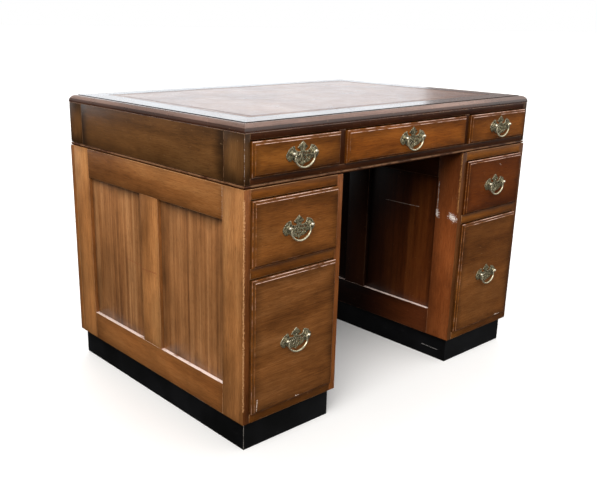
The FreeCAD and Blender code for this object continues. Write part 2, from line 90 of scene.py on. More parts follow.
GAP_BESIDE_FRONT = 0.0015
GAP_BELOW_FRONT = 0.0015
GAP_ABOVE_FRONT = 0.003
PANEL_TONGUE = 0.005

# Painted shade for the kneehole's shadow: share of its tone that the kneehole's wood keeps in the middle of
# the depth and under the roof, where that middle is, how far from it the painted shade fades, and at which
# heights it sets in
KNEEHOLE_MIDDLE_PAINTED_SHADE = 0.10
KNEEHOLE_ROOF_PAINTED_SHADE = 0.45
KNEEHOLE_MIDDLE = 0.04
KNEEHOLE_FADE = (0.05, 0.33)
KNEEHOLE_RISE = (0.30, 0.60)

# Studio: the floor's half width, and the sky's brightness in front, behind and below
FLOOR_SIZE = 400.0
SKY_LEVEL = 0.95
SKY_BEHIND = 0.28
SKY_BELOW = 0.06

# Camera
CAMERA_PLACE = (-1.5445, -1.5821, 0.9715)
CAMERA_YAW = math.radians(40.99)
CAMERA_PITCH = math.radians(-17.15)
CAMERA_ROLL = math.radians(0.70)
CAMERA_LENS = 46.67
CAMERA_SHIFT = (0.0642, 0.0086)

SIDES = ("left", "right")
X, Y, Z = 0, 1, 2

# What the red, green and blue of each drawer's front are multiplied by
DRAWER_TONES = {
    "frieze_left": (1.00, 1.00, 1.00),
    "frieze_centre": (1.55, 1.40, 1.20),
    "frieze_right": (1.00, 0.95, 0.95),
    "left_upper": (1.02, 1.10, 1.75),
    "left_lower": (1.02, 1.18, 2.30),
    "right_upper": (0.66, 0.48, 0.45),
    "right_lower": (0.76, 0.82, 1.35),
}


# ------------------------------------------------------------------ node trees

class Graph:
    """A new material's or world's node tree, built by short calls that return sockets."""

    def __init__(self, name, kind="materials", shader="Principled BSDF"):
        self.owner = getattr(bpy.data, kind).new(name)
        self.owner.use_nodes = True
        self.tree = self.owner.node_tree
        self.shader = self.tree.nodes[shader]

    def node(self, kind, **settings):
        made = self.tree.nodes.new("ShaderNode" + kind)
        for key, value in settings.items():
            setattr(made, key, value)
        return made

    def put(self, socket, value):
        if isinstance(value, bpy.types.NodeSocket):
            self.tree.links.new(value, socket)
        else:
            socket.default_value = value

    def attribute(self, name, output="Vector"):
        return self.node("Attribute", attribute_name=name).outputs[output]

    def place(self):
        return self.node("TexCoord").outputs["Object"]

    def maths(self, operation, first, second=0.0, third=0.0):
        made = self.node("Math", operation=operation)
        for socket, value in zip(made.inputs, (first, second, third)):
            self.put(socket, value)
        return made.outputs[0]

    def vector(self, operation, first, second=(0.0, 0.0, 0.0)):
        made = self.node("VectorMath", operation=operation)
        self.put(made.inputs[0], first)
        self.put(made.inputs[1], second)
        return made.outputs["Value" if operation in ("LENGTH", "DOT_PRODUCT") else "Vector"]

    def split(self, vector):
        made = self.node("SeparateXYZ")
        self.put(made.inputs[0], vector)
        return made.outputs

    def noise(self, vector, scale=1.0, detail=3.0, roughness=0.5, distortion=0.0):
        made = self.node("TexNoise")
        for key, value in (("Vector", vector), ("Scale", scale), ("Detail", detail),
                           ("Roughness", roughness), ("Distortion", distortion)):
            self.put(made.inputs[key], value)
        return made.outputs["Fac"]

    def ramp(self, value, low, high, start=0.0, end=1.0):
        """start below low, end above high, and a smooth step between."""
        made = self.node("MapRange", interpolation_type="SMOOTHSTEP")
        for key, number in (("Value", value), ("From Min", low), ("From Max", high), ("To Min", start),
                            ("To Max", end)):
            self.put(made.inputs[key], number)
        return made.outputs["Result"]

    def colours(self, value, stops):
        made = self.node("ValToRGB")
        self.put(made.inputs["Fac"], value)
        ramp = made.color_ramp
        while len(ramp.elements) < len(stops):
            ramp.elements.new(0.5)
        for element, (position, colour) in zip(ramp.elements, stops):
            element.position = position
            element.color = (*colour, 1.0)
        return made.outputs["Color"]

    def mix(self, factor, first, second, blend="MIX"):
        made = self.node("Mix", data_type="RGBA", blend_type=blend)
        self.put(made.inputs["Factor"], factor)
        for key, value in (("A", first), ("B", second)):
            socket = [s for s in made.inputs if s.name == key and s.type == "RGBA"][0]
            self.put(socket, (*value, 1.0) if isinstance(value, tuple) else value)
        return [s for s in made.outputs if s.type == "RGBA"][0]

    def bump(self, height, distance, strength=1.0, under=None):
        made = self.node("Bump")
        made.inputs["Strength"].default_value = strength
        made.inputs["Distance"].default_value = distance
        self.put(made.inputs["Height"], height)
        if under is not None:
            self.put(made.inputs["Normal"], under)
        return made.outputs["Normal"]

    def surface(self, colour, roughness, normal=None, **fixed):
        self.put(self.shader.inputs["Base Color"], (*colour, 1.0) if isinstance(colour, tuple) else colour)
        self.put(self.shader.inputs["Roughness"], roughness)
        if normal is not None:
            self.put(self.shader.inputs["Normal"], normal)
        for key, value in fixed.items():
            self.shader.inputs[key.replace("_", " ")].default_value = value
        return self.owner


def scaled_grain(graph, along, across, through):
    """A board's own coordinates, moved by its seed and stretched along the grain."""
    seed = graph.attribute("board_seed", "Fac")
    shift = graph.vector("SCALE", (3.1, 1.7, 0.9))
    graph.put(shift.node.inputs["Scale"], seed)
    moved = graph.vector("ADD", graph.attribute("board_at"), shift)
    return graph.vector("MULTIPLY", moved, (along, across, through))


def edge_distance(graph, noise_size):
    """How far a point is inside its board's outline, blurred by noise, in metres."""
    at = graph.split(graph.vector("ABSOLUTE", graph.attribute("board_at")))
    half = graph.split(graph.attribute("board_half"))
    along = graph.maths("SUBTRACT", half[0], at[0])
    across = graph.maths("SUBTRACT", half[1], at[1])
    nearest = graph.maths("MINIMUM", along, across)
    wander = graph.noise(scaled_grain(graph, 14, 30, 30), detail=2)
    return graph.maths("MULTIPLY_ADD", graph.maths("SUBTRACT", wander, 0.5), noise_size, nearest)


def wood(name, dark, middle, light, stripe=0.4, stripe_width=38.0, antique=0.5, antique_reach=0.035,
         roughness=0.36, gloss=0.28, coat=0.0, lightening=0.0, lightening_start=0.36, lightening_colour=(0.50, 0.30, 0.16),
         specks=0.35, ends=0.0, tint=0.26, marks=(), paints_kneehole_shadow=False):
    """Polished mahogany on a board's own coordinates: figure, ribbon stripe, pores, darkened edges, paler
    patches and marks. The darkened edges are antiquing and, on the panels, painted recess shade; the paler
    patches are wear and, on some arrises, ledges and crests, painted highlight; the kneehole's woods can also
    take painted shade.
    """
    graph = Graph(name)
    figure = graph.noise(scaled_grain(graph, 2.2, 9, 8), detail=4, roughness=0.55, distortion=0.9)
    ribbon = graph.noise(scaled_grain(graph, 0.9, stripe_width, 16), detail=4, roughness=0.68,
                         distortion=0.15)
    streak = graph.noise(scaled_grain(graph, 26, 640, 640), detail=3, roughness=0.6)
    pores = graph.noise(scaled_grain(graph, 70, 1500, 1500), detail=1)
    plain = graph.maths("MULTIPLY_ADD", streak, 0.45, graph.maths("MULTIPLY", figure, 0.55))
    tone = graph.maths("ADD", graph.maths("MULTIPLY", ribbon, stripe),
                       graph.maths("MULTIPLY", plain, 1 - stripe))
    colour = graph.colours(tone, ((0.36, dark), (0.50, middle), (0.64, light)))
    pore_mask = graph.maths("MULTIPLY", graph.ramp(pores, 0.58, 0.70), 0.5)
    colour = graph.mix(pore_mask, colour, tuple(0.35 * v for v in dark))
    seed = graph.attribute("board_seed", "Fac")
    share = graph.maths("FRACT", graph.maths("MULTIPLY", seed, 7.31))
    board_tone = graph.maths("MULTIPLY_ADD", share, tint, 1 - tint / 2)
    # Darker near the board's outline: antiquing, and where strong, as on the panels, painted shade in the
    # frame's recess.
    shade = graph.ramp(edge_distance(graph, antique_reach), -0.25 * antique_reach, antique_reach)
    shade = graph.maths("MULTIPLY_ADD", shade, antique, 1 - antique)
    if ends:
        shade = graph.maths("MULTIPLY", shade, end_shade(graph, ends))
    # painted shade standing in for the kneehole's shadow, darkest in its middle and under its roof
    if paints_kneehole_shadow:
        shade = graph.maths("MULTIPLY", shade, painted_kneehole_shadow(graph))
    clouds = graph.noise(scaled_grain(graph, 5, 7, 7), detail=3, roughness=0.6)
    cloud_tone = graph.maths("MULTIPLY_ADD", graph.ramp(clouds, 0.32, 0.68), 0.34, 0.80)
    level = graph.maths("MULTIPLY", graph.maths("MULTIPLY", shade, board_tone), cloud_tone)
    grey = graph.node("CombineColor")
    for channel in ("Red", "Green", "Blue"):
        graph.put(grey.inputs[channel], level)
    colour = graph.mix(1.0, colour, grey.outputs[0], "MULTIPLY")
    dents = graph.noise(scaled_grain(graph, 150, 300, 300), detail=1)
    speck_mask = graph.maths("MULTIPLY", graph.ramp(dents, 0.755, 0.785), specks)
    colour = graph.mix(speck_mask, colour, lightening_colour)
    # Paler patches: wear on most arrises; painted highlight where it lightens upward arrises, ledges and
    # crests.
    if lightening:
        rubbed = graph.noise(scaled_grain(graph, 26, 60, 60), detail=3, roughness=0.65)
        colour = graph.mix(graph.maths("MULTIPLY", graph.ramp(rubbed, lightening_start, lightening_start + 0.22), lightening),
                           colour, lightening_colour)
    for mark in marks:
        colour = graph.mix(mark_mask(graph, mark), colour, mark.colour)
    handled = graph.noise(scaled_grain(graph, 6, 9, 9), detail=4, roughness=0.6)
    rough = graph.maths("MULTIPLY_ADD", handled, 0.22, roughness - 0.11)
    relief = graph.maths("SUBTRACT", graph.maths("MULTIPLY", streak, 0.5), pore_mask)
    waves = graph.bump(graph.noise(scaled_grain(graph, 5, 18, 18), detail=1), 0.0012, 0.4)
    normal = graph.bump(relief, 0.00012, 0.6, waves)
    return graph.surface(colour, rough, normal, Specular_IOR_Level=gloss, Coat_Weight=coat,
                         Coat_Roughness=0.14)


class Mark:
    """A scratch, a chip or a painted highlight strip along a straight line on a surface, in the desk's own
    coordinates.
    """

    def __init__(self, start, end, width, colour=(0.85, 0.70, 0.60), strength=0.9):
        self.start = Vector(start)
        self.end = Vector(end)
        self.width = width
        self.colour = colour
        self.strength = strength


def mark_mask(graph, mark):
    """1 along the mark's line, with a broken edge, and 0 away from it."""
    run = mark.end - mark.start
    offset = graph.vector("SUBTRACT", graph.place(), tuple(mark.start))
    share = graph.maths("DIVIDE", graph.vector("DOT_PRODUCT", offset, tuple(run)), run.length_squared)
    share.node.use_clamp = True
    foot = graph.vector("SCALE", tuple(run))
    graph.put(foot.node.inputs["Scale"], share)
    away = graph.vector("LENGTH", graph.vector("SUBTRACT", offset, foot))
    rough_edge = graph.noise(graph.place(), 330, 3, 0.7)
    away = graph.maths("MULTIPLY_ADD", graph.maths("SUBTRACT", rough_edge, 0.5), 6.0 * mark.width, away)
    inside = graph.maths("SUBTRACT", 1.0, graph.ramp(away, 0.35 * mark.width, 0.8 * mark.width))
    return graph.maths("MULTIPLY", inside, mark.strength)


def end_shade(graph, reach):
    """1 over a board's length, falling to about a third near its two ends."""
    at = graph.split(graph.vector("ABSOLUTE", graph.attribute("board_at")))
    half = graph.split(graph.attribute("board_half"))
    wander = graph.noise(scaled_grain(graph, 10, 24, 24), detail=3)
    inside = graph.maths("SUBTRACT", half[0], at[0])
    inside = graph.maths("MULTIPLY_ADD", graph.maths("SUBTRACT", wander, 0.5), 1.2 * reach, inside)
    return graph.maths("MULTIPLY_ADD", graph.ramp(inside, 0.0, reach), 0.62, 0.38)


def painted_kneehole_shadow(graph):
    """Painted shade for the kneehole's shadow: 1 low down at the kneehole's two ends, and less in its middle
    and under its roof.
    """
    place = graph.split(graph.place())
    from_middle = graph.maths("ABSOLUTE", graph.maths("SUBTRACT", place[Y], KNEEHOLE_MIDDLE))
    depth = graph.maths("MULTIPLY_ADD", graph.ramp(from_middle, *KNEEHOLE_FADE),
                        1 - KNEEHOLE_MIDDLE_PAINTED_SHADE, KNEEHOLE_MIDDLE_PAINTED_SHADE)
    height = graph.maths("MULTIPLY_ADD", graph.ramp(place[Z], *KNEEHOLE_RISE), KNEEHOLE_ROOF_PAINTED_SHADE - 1, 1.0)
    return graph.maths("MULTIPLY", depth, height)


def black_paint(name, lightening=0.0, marks=()):
    """Black satin paint with scuffs and dust, rubbed back to wood where its corners wear."""
    graph = Graph(name)
    place = graph.place()
    cloud = graph.noise(place, 9, 4, 0.6)
    colour = graph.colours(cloud, ((0.35, (0.002, 0.002, 0.002)), (0.7, (0.006, 0.006, 0.007))))
    scratch_grain = graph.vector("MULTIPLY", graph.attribute("board_at"), (22, 420, 420))
    scratches = graph.ramp(graph.noise(scratch_grain, detail=3, roughness=0.7), 0.66, 0.74)
    scuffs = graph.maths("MULTIPLY", scratches, graph.ramp(graph.noise(place, 7, 2), 0.50, 0.66))
    colour = graph.mix(graph.maths("MULTIPLY", scuffs, 0.5), colour, (0.22, 0.22, 0.23))
    if lightening:
        rubbed = graph.ramp(graph.noise(place, 60, 4, 0.7), 0.50, 0.60)
        colour = graph.mix(graph.maths("MULTIPLY", rubbed, lightening), colour, (0.42, 0.40, 0.38))
    for mark in marks:
        colour = graph.mix(mark_mask(graph, mark), colour, mark.colour)
    rough = graph.maths("MULTIPLY_ADD", cloud, 0.25, 0.28)
    normal = graph.bump(graph.noise(place, 220, 3), 0.0002, 0.5)
    return graph.surface(colour, rough, normal, Specular_IOR_Level=0.32)


def brass(name, dark, bright, cover, roughness, metal):
    """Old brass: bright metal under a brown-black patina that noise thins out."""
    graph = Graph(name)
    place = graph.place()
    patina = graph.noise(place, 240, 4, 0.65)
    colour = graph.colours(patina, ((cover - 0.12, dark), (cover + 0.12, bright)))
    rough = graph.maths("MULTIPLY_ADD", patina, -0.25, roughness + 0.12)
    normal = graph.bump(graph.noise(place, 700, 3, 0.6), 0.0002, 0.6)
    return graph.surface(colour, rough, normal, Metallic=metal)


def leather(name, shade=1.0, coat=0.45):
    """Skiver hide: fine grain, blotchy tan-brown dye, soft handling wear."""
    graph = Graph(name)
    place = graph.place()
    blotch = graph.noise(place, 5, 5, 0.6)
    mottled = graph.noise(place, 42, 4, 0.6)
    tone = graph.maths("MULTIPLY_ADD", mottled, 0.35, graph.maths("MULTIPLY", blotch, 0.65))
    dyes = ((0.140, 0.056, 0.034), (0.235, 0.112, 0.070), (0.330, 0.185, 0.125))
    shaded = [tuple(shade * v for v in dye) for dye in dyes]
    colour = graph.colours(tone, list(zip((0.36, 0.52, 0.66), shaded)))
    cells = graph.node("TexVoronoi", feature="DISTANCE_TO_EDGE")
    graph.put(cells.inputs["Vector"], place)
    cells.inputs["Scale"].default_value = 900
    crease = graph.ramp(cells.outputs["Distance"], 0.0, 0.16)
    grain = graph.maths("MULTIPLY_ADD", graph.noise(place, 1500, 2), 0.3, crease)
    rough = graph.maths("MULTIPLY_ADD", graph.noise(place, 16, 4, 0.6), 0.22, 0.20)
    soft = graph.bump(graph.noise(place, 24, 2), 0.0010, 0.35)
    normal = graph.bump(grain, 0.00016, 0.55, soft)
    return graph.surface(colour, rough, normal, Coat_Weight=coat, Coat_Roughness=0.2)


def scaled(tones, tint):
    """The three tones with their red, green and blue multiplied by tint."""
    return [tuple(v * t for v, t in zip(tone, tint)) for tone in tones]


def surface_marks():
    """The scratches, chips and painted highlights that stand out, by the material that they are on."""
    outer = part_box("left_outer_side_frame")[0][X]
    outer_panel = outer + PANEL_RECESS
    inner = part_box("right_inner_side_frame")[0][X]
    inner_panel = inner + PANEL_RECESS
    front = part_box("left_outer_side_frame")[0][Y]
    low_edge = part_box("left_outer_side_frame")[0][Z]
    frieze = Vector(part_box("frieze_left_side")[0])
    frieze[Y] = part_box("frieze_front_frame")[0][Y]
    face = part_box("left_lower_drawer_front")[0][Y]
    plinth_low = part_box("left_plinth")[0]
    plinth_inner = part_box("right_plinth")[0][X]
    red = (0.30, 0.07, 0.03)
    chalk = (0.95, 0.86, 0.80)
    # A pale orange strip down the left pedestal's front corner: a painted highlight.
    corner_painted_highlight = [Mark((outer, front, 0.110), (outer, front, 0.600), 0.0032, (0.72, 0.38, 0.17), 0.75)]
    # A tan strip down the front edge of the right pedestal's inner face: a painted highlight.
    end_painted_highlight = [Mark((inner, front, 0.460), (inner, front, 0.620), 0.0050, (0.55, 0.27, 0.09), 0.6)]
    return {
        "corner": corner_painted_highlight,
        "frame_edge": corner_painted_highlight + [
                       Mark((outer, front, 0.088), (outer, front, 0.135), 0.0016, strength=0.8),
                       Mark((outer, front, 0.152), (outer, front, 0.172), 0.0014, strength=0.8),
                       Mark((outer, -0.221, low_edge), (outer, -0.171, low_edge), 0.0014, strength=0.7),
                       Mark((outer, -0.305, low_edge), (outer, -0.288, low_edge), 0.0014, strength=0.7)],
        "frieze_edge": [Mark((frieze[X], frieze[Y], 0.640), (frieze[X], frieze[Y], 0.738), 0.0007,
                             (0.85, 0.72, 0.66), 0.55)],
        "frame": corner_painted_highlight + [
                  Mark((outer, -0.292, 0.546), (outer, -0.292, 0.624), 0.0009, strength=0.6),
                  Mark((outer, -0.028, 0.352), (outer, 0.052, 0.348), 0.0022, red, 0.6)],
        "panel": [Mark((outer_panel, 0.060, 0.350), (outer_panel, 0.130, 0.352), 0.0018, red, 0.5)],
        "inner": end_painted_highlight + [
                  Mark((inner, -0.080, 0.446), (inner, -0.225, 0.445), 0.0009, strength=0.6),
                  Mark((inner, -0.297, 0.452), (inner, -0.300, 0.436), 0.0058, chalk, 1.0),
                  Mark((inner, -0.297, 0.455), (inner, -0.297, 0.535), 0.0009, chalk, 0.8),
                  Mark((inner, -0.343, 0.444), (inner, -0.356, 0.437), 0.0090, chalk, 1.0)],
        "inner_edge": end_painted_highlight + [
                       Mark((inner, front, 0.425), (inner, front, 0.450), 0.0030, chalk, 0.9)],
        "inner_panel": [Mark((inner_panel, -0.225, 0.447), (inner_panel, -0.100, 0.446), 0.0009,
                             strength=0.55)],
        "left_lower_front": [Mark((-0.503, face, 0.104), (-0.501, face, 0.132), 0.0011),
                             Mark((-0.379, face, 0.104), (-0.371, face, 0.103), 0.0020)],
        "right_lower_front": [Mark((0.458, face, 0.103), (0.482, face, 0.103), 0.0022)],
        "right_upper_front": [Mark((0.404, face, 0.579), (0.411, face, 0.574), 0.0010, strength=0.6)],
        "plinth": [Mark((plinth_low[X], plinth_low[Y], 0.006), (plinth_low[X], plinth_low[Y], 0.068), 0.0009,
                        (0.55, 0.50, 0.45), 0.7),
                   Mark((plinth_inner, -0.330, 0.029), (plinth_inner, -0.271, 0.030), 0.0011,
                        (0.45, 0.43, 0.42), 0.7)],
    }


def make_materials():
    """Every material of the desk by a short name. A wood's three tones run from dark grain to light."""
    made = {}
    marks = surface_marks()
    frame_tones = ((0.165, 0.054, 0.012), (0.335, 0.124, 0.033), (0.475, 0.205, 0.063))
    stile_tones = ((0.240, 0.090, 0.024), (0.500, 0.205, 0.064), (0.700, 0.335, 0.120))
    front_tones = ((0.105, 0.028, 0.003), (0.235, 0.073, 0.009), (0.350, 0.126, 0.021))
    olive_tones = ((0.080, 0.032, 0.008), (0.165, 0.068, 0.019), (0.250, 0.115, 0.036))
    dark_tones = ((0.022, 0.006, 0.002), (0.060, 0.017, 0.005), (0.106, 0.034, 0.010))
    brow_tones = ((0.090, 0.027, 0.006), (0.195, 0.063, 0.015), (0.300, 0.112, 0.029))
    panel_tones = ((0.165, 0.060, 0.020), (0.415, 0.173, 0.058), (0.640, 0.312, 0.126))
    # The kneehole's inner faces take darker copies of the frame and panel tones: painted shade for the shadow
    # inside it.
    inner_painted_shade_tones = ((0.105, 0.028, 0.005), (0.220, 0.062, 0.013), (0.330, 0.108, 0.026))
    inner_panel_painted_shade_tones = ((0.060, 0.012, 0.002), (0.160, 0.038, 0.007), (0.270, 0.078, 0.016))
    pink_highlight_and_wear = (0.78, 0.52, 0.42)
    tan_wear = (0.56, 0.33, 0.17)
    made["frame"] = wood("mahogany_frame_polish", *frame_tones, stripe=0.25, antique=0.25, antique_reach=0.02,
                         marks=marks["frame"])
    made["stile"] = wood("mahogany_stile_polish", *stile_tones, stripe=0.25, antique=0.25, antique_reach=0.02,
                         marks=marks["frame"])
    made["frame_edge"] = wood("mahogany_frame_arris", *frame_tones, antique=0.0, lightening=0.75,
                              lightening_colour=tan_wear, marks=marks["frame_edge"])
    # In the kneehole the rails are painted darker than the stiles, as shade under the roof and near the
    # floor; all its woods also take the painted kneehole shadow.
    made["inner_rail"] = wood("mahogany_kneehole_rail_painted_shade", *scaled(inner_painted_shade_tones, (0.50, 0.42, 0.50)), stripe=0.25,
                              antique=0.3, paints_kneehole_shadow=True)
    made["inner"] = wood("mahogany_kneehole_stile_painted_shade", *scaled(inner_painted_shade_tones, (1.55, 1.42, 1.60)), stripe=0.25,
                         antique=0.3, marks=marks["inner"], paints_kneehole_shadow=True)
    made["inner_edge"] = wood("mahogany_kneehole_arris_painted_shade", *inner_painted_shade_tones, antique=0.0, lightening=0.5,
                              lightening_colour=(0.40, 0.22, 0.13), paints_kneehole_shadow=True, marks=marks["inner_edge"])
    made["inner_panel"] = wood("mahogany_kneehole_panel_painted_shade", *inner_panel_painted_shade_tones, stripe=0.5, antique=0.6,
                               marks=marks["inner_panel"], paints_kneehole_shadow=True)
    made["frieze"] = wood("mahogany_frieze_polish", *olive_tones, stripe=0.25, antique=0.35, ends=0.045,
                          tint=0.1)
    made["frieze_edge"] = wood("mahogany_frieze_arris", *dark_tones, antique=0.0, lightening=0.35,
                               lightening_colour=tan_wear, marks=marks["frieze_edge"])
    made["rail"] = wood("mahogany_rail_polish", *dark_tones, stripe=0.25, antique=0.1, gloss=0.12)
    made["rail_edge"] = wood("mahogany_rail_arris", *dark_tones, antique=0.0, lightening=0.35, lightening_colour=tan_wear,
                             marks=marks["frieze_edge"])
    made["front_rail"] = wood("mahogany_drawer_rail_polish", *front_tones, stripe=0.2, antique=0.45,
                              antique_reach=0.012)
    # The panels' edges are darkened strongly: painted shade in the frame's recess over the antiquing.
    made["panel"] = wood("mahogany_panel_polish", *panel_tones, stripe=0.55, stripe_width=70, antique=0.68,
                         antique_reach=0.046, marks=marks["panel"])
    # The upward faces of the frames' bottom rails are painted pale: a painted highlight of the light from
    # above.
    made["ledge"] = wood("mahogany_ledge_painted_highlight", *frame_tones, antique=0.0, lightening=1.0, lightening_start=0.25,
                         lightening_colour=(0.90, 0.74, 0.68), gloss=0.5, roughness=0.3)
    for drawer, tone in DRAWER_TONES.items():
        made[f"{drawer}_front"] = wood(f"mahogany_{drawer}_front_polish", *scaled(front_tones, tone),
                                       stripe=0.15, antique=0.6, antique_reach=0.034, gloss=0.2, tint=0.2,
                                       marks=marks.get(f"{drawer}_front", ()))
    # The drawer fronts' top arrises are painted pale pink: a painted highlight of light from above.
    made["front_edge"] = wood("mahogany_drawer_top_arris_painted_highlight", *front_tones, antique=0.0, lightening=0.95,
                              lightening_colour=pink_highlight_and_wear)
    # The left pedestal's forward faces are painted lighter than the right's: a painted highlight on the near
    # corner.
    made["left_brow"] = wood("mahogany_left_front_polish", *scaled(brow_tones, (1.75, 1.65, 1.55)),
                             stripe=0.2, antique=0.35, antique_reach=0.012, marks=marks["corner"])
    made["right_brow"] = wood("mahogany_right_front_polish", *brow_tones, stripe=0.2, antique=0.35,
                              antique_reach=0.012)
    # Near-black for the quirk and the border's edges: painted shade in these crevices.
    made["groove"] = wood("mahogany_groove_painted_shade", (0.006, 0.003, 0.002), (0.012, 0.005, 0.003),
                          (0.022, 0.009, 0.005), antique=0.0, roughness=0.7, gloss=0.1, specks=0.0)
    made["front_side_edge"] = wood("mahogany_drawer_side_arris", *front_tones, antique=0.0, lightening=0.22,
                                   lightening_start=0.45, lightening_colour=pink_highlight_and_wear)
    made["moulding"] = wood("mahogany_moulding_polish", *dark_tones, antique=0.0, roughness=0.28, gloss=0.5,
                            coat=0.7)
    # The upper part of the top's moulding is painted lighter: a painted highlight along its crest.
    made["moulding_crest"] = wood("mahogany_moulding_crest_painted_highlight", (0.115, 0.058, 0.042), (0.235, 0.138, 0.105),
                                  (0.340, 0.215, 0.170), antique=0.0, roughness=0.28, gloss=0.5, coat=0.7)
    made["moulding_edge"] = wood("mahogany_moulding_arris", *dark_tones, antique=0.0, lightening=1.0,
                                 lightening_start=0.25, lightening_colour=(0.90, 0.70, 0.62))
    # The upper half of the frieze's bead is painted paler: a faint painted highlight.
    made["bead_crest"] = wood("mahogany_bead_crest_painted_highlight", *dark_tones, antique=0.0, lightening=0.6,
                              lightening_colour=(0.34, 0.17, 0.08))
    made["top"] = wood("mahogany_border_polish", (0.050, 0.014, 0.006), (0.130, 0.042, 0.018),
                       (0.225, 0.085, 0.038), antique=0.3, roughness=0.26, gloss=0.5, coat=0.6)
    made["lining"] = wood("drawer_lining_wood", (0.30, 0.19, 0.095), (0.46, 0.31, 0.17), (0.60, 0.44, 0.26),
                          stripe=0.3, antique=0.15, roughness=0.6, specks=0.1)
    made["plinth"] = black_paint("black_plinth_paint", marks=marks["plinth"])
    made["plinth_edge"] = black_paint("black_plinth_corner", lightening=0.8)
    made["leather"] = leather("desk_leather")
    made["leather_line"] = leather("desk_leather_tooling", shade=0.35, coat=0.0)
    made["brass"] = brass("antique_brass_patina", (0.034, 0.029, 0.013), (0.46, 0.41, 0.25), 0.51, 0.34, 0.55)
    made["brass_edge"] = brass("antique_brass_worn", (0.42, 0.36, 0.22), (0.95, 0.88, 0.68), 0.42, 0.24, 0.6)
    made["brass_bail"] = brass("antique_brass_bail", (0.26, 0.22, 0.12), (0.88, 0.80, 0.58), 0.48, 0.26, 0.6)
    return made


# ------------------------------------------------------------------ meshes

class Piece:
    """One visible piece: boards and other solids gathered into a mesh with their grain coordinates."""

    def __init__(self, name, materials):
        self.name = name
        self.materials = materials
        self.random = random.Random(name)
        self.points = []
        self.faces = []
        self.slots = []
        self.at = []
        self.half = []
        self.seeds = []

    def add(self, points, faces, slots, along, low=None, high=None):
        """Adds one solid. Its grain runs along that axis, and its outline is the box from low to high."""
        low = low or Vector([min(p[i] for p in points) for i in range(3)])
        high = high or Vector([max(p[i] for p in points) for i in range(3)])
        size = high - low
        others = sorted((i for i in range(3) if i != along), key=lambda i: -size[i])
        order = (along, *others)
        middle = (low + high) / 2
        seed = self.random.random() * 20
        start = len(self.points)
        for point in points:
            self.points.append(tuple(point))
            self.at.extend(point[i] - middle[i] for i in order)
            self.half.extend(size[i] / 2 for i in order)
            self.seeds.append(seed)
        self.faces.extend(tuple(start + i for i in face) for face in faces)
        self.slots.extend(slots)

    def board(self, low, high, along, arris=ARRIS, crest=None, brow=None, side=None, polish=None):
        """A board with softened arrises, which take the piece's second material. If given, its upward faces
        take the material number in crest, its forward faces the one in brow, its left and right faces the one
        in side, or all faces the one in polish."""
        mesh = bmesh.new()
        bmesh.ops.create_cube(mesh, size=1.0)
        low = Vector(low)
        high = Vector(high)
        for vertex in mesh.verts:
            vertex.co = [low[i] + (vertex.co[i] + 0.5) * (high[i] - low[i]) for i in range(3)]
        made = bmesh.ops.bevel(mesh, geom=mesh.edges[:], offset=arris, segments=2, profile=0.5,
                               affect="EDGES")
        rounded = set(made["faces"])
        mesh.verts.index_update()
        mesh.normal_update()
        slots = [1 if f in rounded else 0 for f in mesh.faces]
        if crest is not None:
            slots = [crest if f.normal.z > 0.6 else s for f, s in zip(mesh.faces, slots)]
        if brow is not None:
            slots = [brow if f.normal.y < -0.9 else s for f, s in zip(mesh.faces, slots)]
        if side is not None:
            slots = [side if abs(f.normal.x) > 0.9 else s for f, s in zip(mesh.faces, slots)]
        if polish is not None:
            slots = [polish] * len(slots)
        self.add([v.co.copy() for v in mesh.verts], [[v.index for v in f.verts] for f in mesh.faces],
                 slots, along, low, high)
        mesh.free()

    def build(self, body, slot, *nodes):
        mesh = bpy.data.meshes.new(self.name)
        mesh.from_pydata(self.points, [], self.faces)
        mesh.validate()
        finish_mesh(mesh, self.materials, self.slots)
        for name, kind, key, values in (("board_at", "FLOAT_VECTOR", "vector", self.at),
                                        ("board_half", "FLOAT_VECTOR", "vector", self.half),
                                        ("board_seed", "FLOAT", "value", self.seeds)):
            mesh.attributes.new(name, kind, "POINT").data.foreach_set(key, values)
        return place_piece(self.name, mesh, body, nodes)


def finish_mesh(mesh, materials, slots):
    for material in materials:
        mesh.materials.append(material)
    mesh.polygons.foreach_set("material_index", [min(s, len(materials) - 1) for s in slots])
    mesh.shade_smooth()
    mesh.set_sharp_from_angle(angle=math.radians(32))


def place_piece(name, mesh, body, nodes):
    piece = bpy.data.objects.new(name, mesh)
    bpy.context.scene.collection.objects.link(piece)
    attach(piece, body)
    if nodes:
        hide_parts(*nodes)
    return piece


def corner(low, high, **changes):
    """A copy of a box as (low, high), with the named limits changed: x0, x1, y0, y1, z0 or z1."""
    low = list(low)
    high = list(high)
    for key, value in changes.items():
        side = low if key[1] == "0" else high
        side["xyz".index(key[0])] = value
    return low, high


def welded(node):
    """A CAD node's own shape as a bmesh whose faces share their corners."""
    mesh = bmesh.new()
    mesh.from_mesh(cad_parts[node].data)
    bmesh.ops.remove_doubles(mesh, verts=mesh.verts[:], dist=1e-6)
    bmesh.ops.dissolve_limit(mesh, angle_limit=math.radians(0.3), verts=mesh.verts[:], edges=mesh.edges[:])
    return mesh


def hard_edges(mesh, degrees):
    limit = math.radians(degrees)
    return [e for e in mesh.edges if len(e.link_faces) == 2 and e.calc_face_angle(0) > limit]


# ------------------------------------------------------------------ desk top

